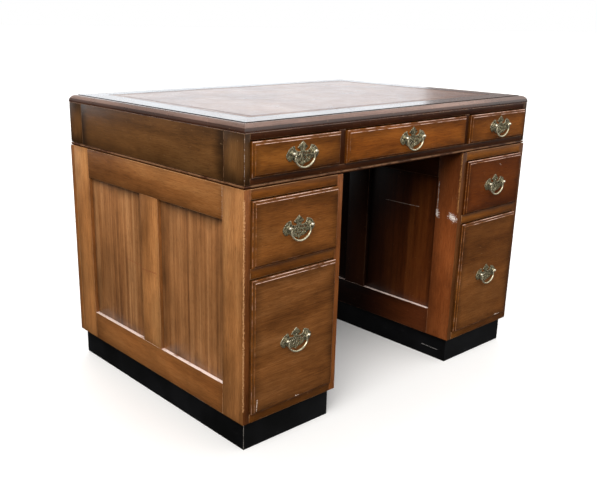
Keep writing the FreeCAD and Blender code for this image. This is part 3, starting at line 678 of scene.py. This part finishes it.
def mitred_frame(piece, low, high, section):
    """Four lengths of one section round a rectangle. A section's points are (inset from the rectangle,
    height, material of the face that leads to the point)."""
    corners = [(low[X], low[Y], 1, 1), (high[X], low[Y], -1, 1),
               (high[X], high[Y], -1, -1), (low[X], high[Y], 1, -1)]
    count = len(section)
    for i in range(4):
        points = []
        for x, y, toward_x, toward_y in (corners[i], corners[(i + 1) % 4]):
            points.extend(Vector((x + toward_x * inset, y + toward_y * inset, z)) for inset, z, _ in section)
        faces = [(j, (j + 1) % count, count + (j + 1) % count, count + j) for j in range(count)]
        slots = [section[j][2] for j in range(count)]
        faces += [tuple(reversed(range(count))), tuple(range(count, 2 * count))]
        piece.add(points, faces, slots + [0, 0], X if i % 2 == 0 else Y)


def arc(centre, radii, start, end, steps):
    """Points along an ellipse's arc, with angles in degrees."""
    return [(centre[0] + radii[0] * math.cos(math.radians(start + (end - start) * i / steps)),
             centre[1] + radii[1] * math.sin(math.radians(start + (end - start) * i / steps)))
            for i in range(steps + 1)]


def nested_rings(count):
    """Faces of a closed solid whose points are rings of four, from its back to its face."""
    faces = [(3, 2, 1, 0)]
    for start in range(0, 4 * (count - 1), 4):
        for i in range(4):
            after = (i + 1) % 4
            faces.append((start + i, start + after, start + after + 4, start + i + 4))
    last = 4 * (count - 1)
    faces.append((last, last + 1, last + 2, last + 3))
    return faces


def build_top(m):
    low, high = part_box("top_edge_moulding")
    bottom, top = low[Z], high[Z]
    crest = MOULDING - QUIRK - CREST_FLAT
    crown = top - CROWN_DROP
    spring = bottom + NOSE_HEIGHT
    curve = arc((crest, spring), (crest, crown - spring), 180, 90, 12)
    section = [(MOULDING, bottom, 0), (NOSE_WEAR, bottom, 0), (0, bottom + NOSE_WEAR, 1)]
    # Faces of the ovolo above the crest share take the lighter crest material, a painted highlight.
    section += [(inset, z, 0 if z < bottom + CREST_SHARE * (crown - bottom) else 3) for inset, z in curve]
    # The quirk takes the groove material, painted shade.
    section += [(MOULDING - QUIRK, crown, 3), (MOULDING - QUIRK, top - QUIRK_DEPTH, 2),
                (MOULDING, top - QUIRK_DEPTH, 2)]
    piece = Piece("top_edge_ovolo", [m["moulding"], m["moulding_edge"], m["groove"], m["moulding_crest"]])
    mitred_frame(piece, low, high, section[::-1])
    piece.build("carcass", "mahogany_moulding", "top_edge_moulding")

    low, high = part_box("top_board")
    inner_low, inner_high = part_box("leather_lining")
    border = inner_low[X] - low[X]
    well = inner_low[Z]
    soft = BORDER_ARRIS
    # The border's outer side and arrises take the groove material: painted shade for the dark lines beside
    # the moulding and the leather.
    section = [(border, low[Z], 0), (0, low[Z], 0), (0, high[Z] - soft, 1), (soft, high[Z], 1),
               (border - soft, high[Z], 0), (border, high[Z] - soft, 1)]
    piece = Piece("top_border_boards", [m["top"], m["groove"]])
    mitred_frame(piece, low, high, section[::-1])
    piece.board((inner_low[X], inner_low[Y], low[Z]), (inner_high[X], inner_high[Y], well), X)
    piece.build("carcass", "mahogany_top", "top_board")


def build_leather(m):
    """The hide in its well, with a double blind-tooled line pressed in round its margin."""
    low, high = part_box("leather_lining")
    top = high[Z] - LEATHER_DROP
    profile = [(0.0, low[Z], 1), (0.0, top - 0.0006, 1), (0.0004, top - 0.0004, 1), (0.0015, top, 0)]
    for start, width in TOOLED_LINES:
        groove = top - TOOLED_LINE_DEPTH
        profile += [(start, top, 1), (start + TOOLED_LINE_SLOPE, groove, 1),
                    (start + width - TOOLED_LINE_SLOPE, groove, 1), (start + width, top, 0)]
    points = []
    for inset, z, _ in profile:
        points += [(low[X] + inset, low[Y] + inset, z), (high[X] - inset, low[Y] + inset, z),
                   (high[X] - inset, high[Y] - inset, z), (low[X] + inset, high[Y] - inset, z)]
    slots = [0] + [slot for _, _, slot in profile[:-1] for _ in range(4)] + [0]
    piece = Piece("leather_skiver", [m["leather"], m["leather_line"]])
    piece.add([Vector(p) for p in points], nested_rings(len(profile)), slots, X)
    piece.build("carcass", "leather", "leather_lining")


# ------------------------------------------------------------------ frieze

def build_frieze(m):
    for side in SIDES:
        low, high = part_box(f"frieze_{side}_side")
        piece = Piece(f"frieze_{side}_end_boards", [m["frieze"], m["frieze_edge"]])
        joints = [low[Y], low[Y] + FRIEZE_BLOCK, high[Y] - FRIEZE_BACK_BLOCK, high[Y]]
        for start, end, along in zip(joints[:-1], joints[1:], (Z, Y, Z)):
            piece.board(*corner(low, high, y0=start, y1=end), along)
        piece.build("carcass", "mahogany_frame", f"frieze_{side}_side")
    piece = Piece("frieze_back_board", [m["frieze"], m["frieze_edge"]])
    piece.board(*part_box("frieze_back"), X)
    piece.build("carcass", "mahogany_frame", "frieze_back")

    low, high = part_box("frieze_front_frame")
    front_low, front_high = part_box("frieze_centre_drawer_front")
    opening_low = front_low[Z] - GAP_BELOW_FRONT
    opening_high = front_high[Z] + GAP_ABOVE_FRONT
    divider_inner = front_high[X] + GAP_BESIDE_FRONT
    piece = Piece("frieze_front_rails", [m["rail"], m["rail_edge"]])
    piece.board(*corner(low, high, z1=opening_low), X)
    piece.board(*corner(low, high, z0=opening_high), X)
    for start in (-divider_inner - DIVIDER, divider_inner):
        piece.board(*corner(low, high, x0=start, x1=start + DIVIDER, z0=opening_low, z1=opening_high), Z)
    piece.build("carcass", "mahogany_frame", "frieze_front_frame")

    low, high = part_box("frieze_base_board")
    bead_low = low[Z] + BEAD_CLEAR
    bead_high = high[Z] - BEAD_CLEAR
    reach = BASE_BOARD_LIP
    radii = (BEAD_RADIUS, BEAD_RADIUS)
    under = arc((BEAD_RADIUS, bead_low + BEAD_RADIUS), radii, 270, 180, 6)
    over = arc((BEAD_RADIUS, bead_high - BEAD_RADIUS), radii, 180, 90, 6)
    section = [(reach, low[Z], 0), (BEAD_DEPTH, low[Z], 0), (BEAD_DEPTH, bead_low, 0)]
    # The bead's upper arc takes the crest material with its painted highlight.
    section += [(inset, z, 0) for inset, z in under] + [(inset, z, 1) for inset, z in over]
    section += [(BEAD_DEPTH, bead_high, 0), (BEAD_DEPTH, high[Z], 0), (reach, high[Z], 0)]
    piece = Piece("frieze_base_bead", [m["rail"], m["bead_crest"]])
    mitred_frame(piece, low, high, section[::-1])
    piece.board((low[X] + reach, low[Y] + reach, low[Z]), (high[X] - reach, high[Y] - reach, high[Z]), X)
    piece.build("carcass", "mahogany_frame", "frieze_base_board")


# ------------------------------------------------------------------ pedestals

def build_side_frame(m, side, face):
    node = f"{side}_{face}_side_frame"
    low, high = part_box(node)
    field_low = low[Z] + RAIL
    field_high = high[Z] - RAIL
    front = low[Y] + STILE
    back = high[Y] - STILE
    middle = (front + back) / 2
    # The inner faces, in the kneehole, take the woods with painted shade.
    polish = "frame" if face == "outer" else "inner_rail"
    edge = "frame_edge" if face == "outer" else "inner_edge"
    upright = "stile" if face == "outer" else "inner"
    piece = Piece(f"{side}_{face}_stiles_and_rails",
                  [m[polish], m[edge], m["ledge"], m[side + "_brow"], m[upright]])
    piece.board(*corner(low, high, y1=front), Z, brow=3, side=4)
    piece.board(*corner(low, high, y0=back), Z, side=4)
    piece.board(*corner(low, high, y0=middle - MUNTIN / 2, y1=middle + MUNTIN / 2, z0=field_low,
                        z1=field_high), Z, side=4)
    # The bottom rail's upward faces take the ledge's painted highlight.
    piece.board(*corner(low, high, y0=front, y1=back, z1=field_low), Y, crest=2)
    piece.board(*corner(low, high, y0=front, y1=back, z0=field_high), Y)
    piece.build("carcass", "mahogany_frame", node)


def build_side_panels(m, side):
    """Both pairs of panels of one pedestal, each inside its frame's recess."""
    node = f"{side}_side_panels"
    box_low, box_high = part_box(node)
    piece = Piece(f"{side}_ribbon_panels", [m["panel"], m["inner_panel"]])
    for face in ("outer", "inner"):
        low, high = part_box(f"{side}_{face}_side_frame")
        shows_low = (side == "left") == (face == "outer")
        x0 = low[X] + PANEL_RECESS if shows_low else high[X] - PANEL_RECESS - PANEL_THICKNESS
        front = low[Y] + STILE
        back = high[Y] - STILE
        middle = (front + back) / 2
        tongue = front - box_low[Y]
        polish = 0 if face == "outer" else 1
        for start, end in ((front, middle - MUNTIN / 2), (middle + MUNTIN / 2, back)):
            piece.board((x0, start - tongue, box_low[Z]),
                        (x0 + PANEL_THICKNESS, end + tongue, box_high[Z]), Z, polish=polish)
    piece.build("carcass", "mahogany_panel", node)


def build_back_frame(m, side):
    node = f"{side}_back_frame"
    low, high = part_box(node)
    left = low[X] + BACK_FRAME_STILE
    right = high[X] - BACK_FRAME_STILE
    field_low = low[Z] + RAIL
    field_high = high[Z] - RAIL
    piece = Piece(f"{side}_back_stiles_and_panel", [m["frame"], m["frame_edge"]])
    piece.board(*corner(low, high, x1=left), Z)
    piece.board(*corner(low, high, x0=right), Z)
    piece.board(*corner(low, high, x0=left, x1=right, z1=field_low), X)
    piece.board(*corner(low, high, x0=left, x1=right, z0=field_high), X)
    surface = high[Y] - PANEL_RECESS
    piece.board((left - PANEL_TONGUE, surface - PANEL_THICKNESS, field_low - PANEL_TONGUE),
                (right + PANEL_TONGUE, surface, field_high + PANEL_TONGUE), Z)
    piece.build("carcass", "mahogany_frame", node)


def build_front_rails(m, side):
    node = f"{side}_front_rails"
    low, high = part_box(node)
    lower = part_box(f"{side}_lower_drawer_front")
    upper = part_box(f"{side}_upper_drawer_front")
    piece = Piece(f"{side}_drawer_rails", [m["front_rail"], m["frame_edge"]])
    for start, end in ((low[Z], lower[0][Z] - GAP_BELOW_FRONT),
                       (lower[1][Z] + GAP_ABOVE_FRONT, upper[0][Z] - GAP_BELOW_FRONT),
                       (upper[1][Z] + GAP_ABOVE_FRONT, high[Z])):
        piece.board(*corner(low, high, z0=start, z1=end), X)
    piece.build("carcass", "mahogany_frame", node)


def build_plinth(m, side):
    node = f"{side}_plinth"
    low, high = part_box(node)
    piece = Piece(f"{side}_plinth_boards", [m["plinth"], m["plinth_edge"]])
    section = [(0, low[Z] + PLINTH_ARRIS, 1), (0, high[Z], 0), (PLINTH_BOARD, high[Z], 0),
               (PLINTH_BOARD, low[Z], 0), (PLINTH_ARRIS, low[Z], 0)]
    mitred_frame(piece, low, high, section[::-1])
    piece.build("carcass", "black_plinth", node)


# ------------------------------------------------------------------ drawers

def build_drawer_front(m, drawer):
    """A front in rings from its back to its face: side, round outer arris, ovolo, step, round inner arris."""
    node = f"{drawer}_drawer_front"
    low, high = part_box(node)
    face = low[Y]
    edge = face + FRONT_EDGE_DROP
    step = face + FRONT_STEP
    foot = 2 * FRONT_ARRIS
    outer_arris = arc((FRONT_ARRIS, edge + FRONT_ARRIS), (FRONT_ARRIS, FRONT_ARRIS), 180, 270, 4)
    ovolo = arc((FRONT_MOULDING, edge), (FRONT_MOULDING - foot, edge - step), 180, 270, 6)
    inner_arris = arc((FRONT_MOULDING + FRONT_INNER, face + FRONT_INNER), (FRONT_INNER, FRONT_INNER),
                      180, 270, 4)
    profile = [(0.0, high[Y], 0)]
    for curve, polish in ((outer_arris, 1), (ovolo, 0), (inner_arris, 1)):
        profile += [(inset, y, polish) for inset, y in curve]
    profile.append((FRONT_MOULDING + 2 * FRONT_INNER, face, 0))
    points = []
    for inset, y, _ in profile:
        points += [(low[X] + inset, y, low[Z] + inset), (high[X] - inset, y, low[Z] + inset),
                   (high[X] - inset, y, high[Z] - inset), (low[X] + inset, y, high[Z] - inset)]
    # On the arris rings the top faces take the drawer's top arris material, painted as a highlight; the
    # bottom and side faces take the fainter side arris material.
    slots = [0]
    for behind, ahead in zip(profile[:-1], profile[1:]):
        arris = min(behind[2], ahead[2])
        below = right = left = 2 * arris
        slots += [below, right, arris, left]
    slots.append(0)
    piece = Piece(f"{drawer}_moulded_front", [m[f"{drawer}_front"], m["front_edge"], m["front_side_edge"]])
    piece.add([Vector(p) for p in points], nested_rings(len(profile)), slots, X)
    piece.build(f"{drawer}_drawer", "mahogany_drawer_front", node)


def build_drawer_box(m, drawer):
    node = f"{drawer}_drawer_box"
    low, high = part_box(node)
    floor = low[Z] + DRAWER_BOTTOM_RAISE
    left = low[X] + DRAWER_SIDE
    right = high[X] - DRAWER_SIDE
    piece = Piece(f"{drawer}_box_boards", [m["lining"]])
    piece.board(*corner(low, high, x1=left), Y, DRAWER_BOX_ARRIS)
    piece.board(*corner(low, high, x0=right), Y, DRAWER_BOX_ARRIS)
    piece.board(*corner(low, high, x0=left, x1=right, y0=high[Y] - DRAWER_SIDE, z0=floor + DRAWER_BOTTOM),
                X, DRAWER_BOX_ARRIS)
    piece.board(*corner(low, high, x0=left, x1=right, z0=floor, z1=floor + DRAWER_BOTTOM), X)
    piece.build(f"{drawer}_drawer", "drawer_lining_wood", node)


def metal_piece(name, mesh, rounded, brasses, body, node):
    """A brass piece from a bmesh: the faces in rounded show the second, brighter metal."""
    data = bpy.data.meshes.new(name)
    slots = [1 if f in rounded else 0 for f in mesh.faces]
    mesh.to_mesh(data)
    mesh.free()
    finish_mesh(data, brasses, slots)
    place_piece(name, data, body, [node])


def build_handle(m, drawer):
    plain = [m["brass"], m["brass_edge"]]
    node = f"{drawer}_handle_plate"
    mesh = welded(node)
    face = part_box(node)[0][Y]
    rim = [e for e in hard_edges(mesh, 40) if all(abs(v.co[Y] - face) < 1e-5 for v in e.verts)]
    made = bmesh.ops.bevel(mesh, geom=rim, offset=PLATE_BEVEL, segments=2, profile=0.5, affect="EDGES",
                           clamp_overlap=True)
    metal_piece(f"{drawer}_batwing_plate", mesh, set(made["faces"]), plain, f"{drawer}_drawer", node)

    node = f"{drawer}_handle_posts"
    mesh = welded(node)
    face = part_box(f"{drawer}_handle_plate")[0][Y]
    bright = {f for f in mesh.faces if f.calc_center_median()[Y] < face - BALL_DEPTH}
    metal_piece(f"{drawer}_ball_posts", mesh, bright, plain, f"{drawer}_drawer", node)

    node = f"{drawer}_handle_bail"
    mesh = welded(node)
    low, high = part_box(node)
    mesh.normal_update()
    for vertex in mesh.verts:
        depth = (high[Z] - vertex.co[Z]) / (high[Z] - low[Z])
        share = min(1.0, max(0.0, (depth - BAIL_SWELL_START) / BAIL_SWELL_SPAN))
        vertex.co += vertex.normal * BAIL_SWELL * share * share * (3 - 2 * share)
    metal_piece(f"{drawer}_drop_bail", mesh, set(), [m["brass_bail"]], f"{drawer}_bail", node)


# ------------------------------------------------------------------ the CAD nodes that stay

def dress_inner_nodes(m):
    """Runners, supports and end boards keep their CAD shape and take a plain carcass wood."""
    graph = Graph("inner_carcass_pine")
    place = graph.place()
    grain = graph.vector("MULTIPLY", place, (160, 5, 160))
    streak = graph.noise(grain, detail=3, roughness=0.6)
    figure = graph.noise(graph.vector("MULTIPLY", place, (30, 2, 30)), detail=3, distortion=0.6)
    tone = graph.maths("MULTIPLY_ADD", streak, 0.4, graph.maths("MULTIPLY", figure, 0.6))
    colour = graph.colours(tone, ((0.35, (0.20, 0.115, 0.055)), (0.5, (0.32, 0.20, 0.105)),
                                  (0.68, (0.44, 0.29, 0.16))))
    rough = graph.maths("MULTIPLY_ADD", streak, 0.2, 0.55)
    pine = graph.surface(colour, rough, graph.bump(streak, 0.0002, 0.5))
    for node in ("frieze_drawer_supports", "left_drawer_runners", "right_drawer_runners",
                 "left_end_boards", "right_end_boards"):
        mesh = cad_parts[node].data
        mesh.materials.clear()
        mesh.materials.append(pine)


# ------------------------------------------------------------------ floor, light and camera

def build_stage():
    """A wide pale floor that the desk's polish doesn't mirror."""
    mesh = bpy.data.meshes.new("floor")
    size = FLOOR_SIZE
    corners = [(-size, -size, 0), (size, -size, 0), (size, size, 0), (-size, size, 0)]
    mesh.from_pydata(corners, [], [(0, 1, 2, 3)])
    floor = bpy.data.objects.new("floor", mesh)
    graph = Graph("pale_floor")
    mottled = graph.noise(graph.place(), 3, 3)
    colour = graph.mix(mottled, (0.93, 0.93, 0.93), (0.95, 0.95, 0.95))
    mesh.materials.append(graph.surface(colour, 1.0, Specular_IOR_Level=0.0))
    bpy.context.scene.collection.objects.link(floor)
    floor.visible_glossy = False
    floor.visible_diffuse = False


def build_sky():
    """Soft light from the whole sky, strongest in front of the desk, little from below; seen itself, it is
    plain white."""
    graph = Graph("studio", "worlds", "Background")
    parts = graph.split(graph.node("TexCoord").outputs["Generated"])
    above = graph.ramp(parts[Z], -0.04, 0.04, SKY_BELOW, 1.0)
    behind = graph.ramp(parts[Y], -0.5, 0.7, SKY_LEVEL, SKY_BEHIND)
    seen = graph.node("LightPath").outputs["Is Camera Ray"]
    level = graph.maths("MAXIMUM", graph.maths("MULTIPLY", above, behind), seen)
    graph.shader.inputs["Color"].default_value = (1.0, 1.0, 1.0, 1.0)
    graph.put(graph.shader.inputs["Strength"], level)
    bpy.context.scene.world = graph.owner


def soft_sun(name, direction, power, angle, colour=(1.0, 1.0, 1.0)):
    """A sun whose light travels along the direction given."""
    light = bpy.data.lights.new(name, "SUN")
    light.energy = power
    light.angle = math.radians(angle)
    light.color = colour
    lamp = bpy.data.objects.new(name, light)
    lamp.rotation_euler = Vector(direction).to_track_quat("-Z", "Y").to_euler()
    bpy.context.scene.collection.objects.link(lamp)


def reflected_card(name, place, aim, size, brightness, colour):
    """A bright card that only polished surfaces see."""
    light = bpy.data.lights.new(name, "AREA")
    light.shape = "RECTANGLE"
    light.size, light.size_y = size
    light.energy = brightness * math.pi * size[0] * size[1]
    light.color = colour
    lamp = bpy.data.objects.new(name, light)
    lamp.location = place
    lamp.rotation_euler = (Vector(aim) - Vector(place)).to_track_quat("-Z", "Y").to_euler()
    lamp.visible_diffuse = False
    bpy.context.scene.collection.objects.link(lamp)


def build_lights():
    soft_sun("front_left_sun", (0.68, 0.46, -0.85), 2.4, 45, (1.0, 0.97, 0.93))
    soft_sun("back_right_sun", (-0.35, -0.50, -1.0), 1.2, 35)
    reflected_card("window_behind", (2.4, 7.0, 1.9), (0.4, 0.5, 0.9), (11.0, 3.0), 1.28, (0.86, 0.94, 1.0))


def build_camera():
    camera = bpy.data.cameras.new("camera")
    camera.lens = CAMERA_LENS
    camera.sensor_width = 36.0
    camera.shift_x, camera.shift_y = CAMERA_SHIFT
    camera.clip_end = 60.0
    holder = bpy.data.objects.new("camera", camera)
    turn = Matrix.Rotation(-CAMERA_YAW, 4, "Z") @ Matrix.Rotation(math.pi / 2 + CAMERA_PITCH, 4, "X")
    turn = turn @ Matrix.Rotation(CAMERA_ROLL, 4, "Z")
    holder.matrix_world = Matrix.Translation(CAMERA_PLACE) @ turn
    bpy.context.scene.collection.objects.link(holder)
    bpy.context.scene.camera = holder


build_camera()
build_stage()
build_sky()
build_lights()
materials = make_materials()
build_top(materials)
build_leather(materials)
build_frieze(materials)
for pedestal in SIDES:
    build_side_frame(materials, pedestal, "outer")
    build_side_frame(materials, pedestal, "inner")
    build_side_panels(materials, pedestal)
    build_back_frame(materials, pedestal)
    build_front_rails(materials, pedestal)
    build_plinth(materials, pedestal)
for drawer_name in DRAWER_TONES:
    build_drawer_front(materials, drawer_name)
    build_drawer_box(materials, drawer_name)
    build_handle(materials, drawer_name)
dress_inner_nodes(materials)
bpy.context.scene.view_settings.view_transform = "Standard"
